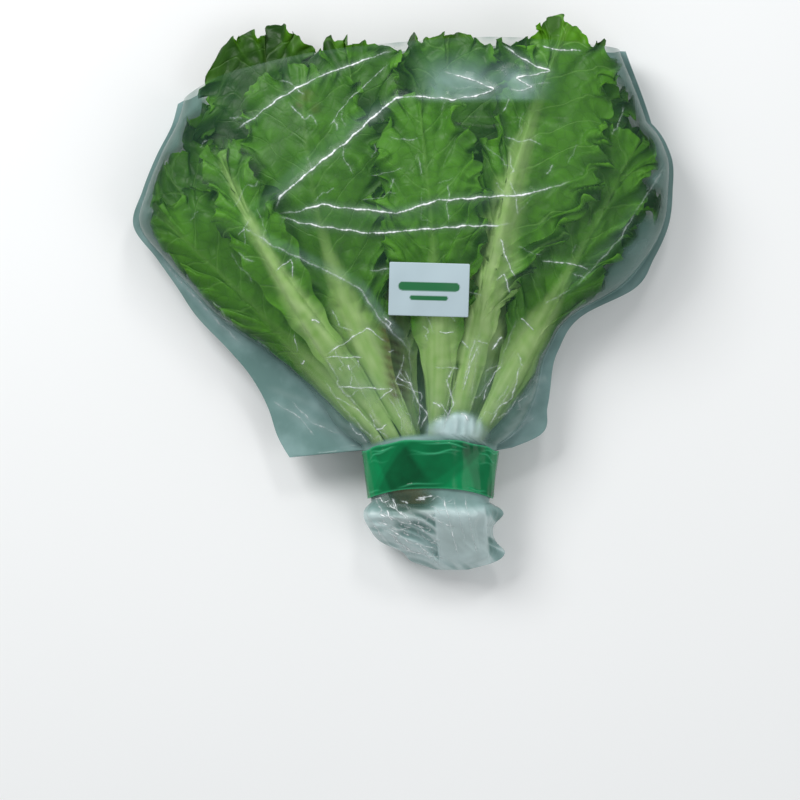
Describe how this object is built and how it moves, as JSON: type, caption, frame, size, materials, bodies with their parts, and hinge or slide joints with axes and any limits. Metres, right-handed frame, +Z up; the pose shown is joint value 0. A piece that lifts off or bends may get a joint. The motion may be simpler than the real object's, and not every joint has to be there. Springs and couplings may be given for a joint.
{
  "type": "bunch of green leaf lettuce",
  "caption": "Head of frilled green leaf lettuce lying in a clear film sleeve, its stalks gathered in a wide green tape band.",
  "frame": {"origin": "on the flat underside of the sleeve, under the middle of the leaves, where the bunch rests", "axes": "+Z up, away from the resting surface; +Y from the cut stem towards the leaf tips; +X to the right as seen from above"},
  "size_m": [0.3035, 0.3079, 0.08],
  "materials": {
    "leaf": "satin",
    "stem": "matte",
    "film": "gloss",
    "tape": "gloss",
    "sticker": "satin"
  },
  "bodies": {
    "root": {"leaf_left_low": "leaf", "leaf_left_fold": "leaf", "leaf_left_front": "leaf", "leaf_centre_front": "leaf", "leaf_big_back": "leaf", "leaf_right_front": "leaf", "leaf_far_left": "leaf", "leaf_top_left": "leaf", "leaf_top_centre": "leaf", "leaf_top_middle": "leaf", "leaf_right_curl": "leaf", "leaf_far_right": "leaf", "leaf_back_1": "leaf", "leaf_back_2": "leaf", "leaf_back_3": "leaf", "leaf_back_4": "leaf", "leaf_back_5": "leaf", "stump": "stem", "sleeve": "film", "tape_band": "tape", "label": "sticker"}
  },
  "joints": []
}
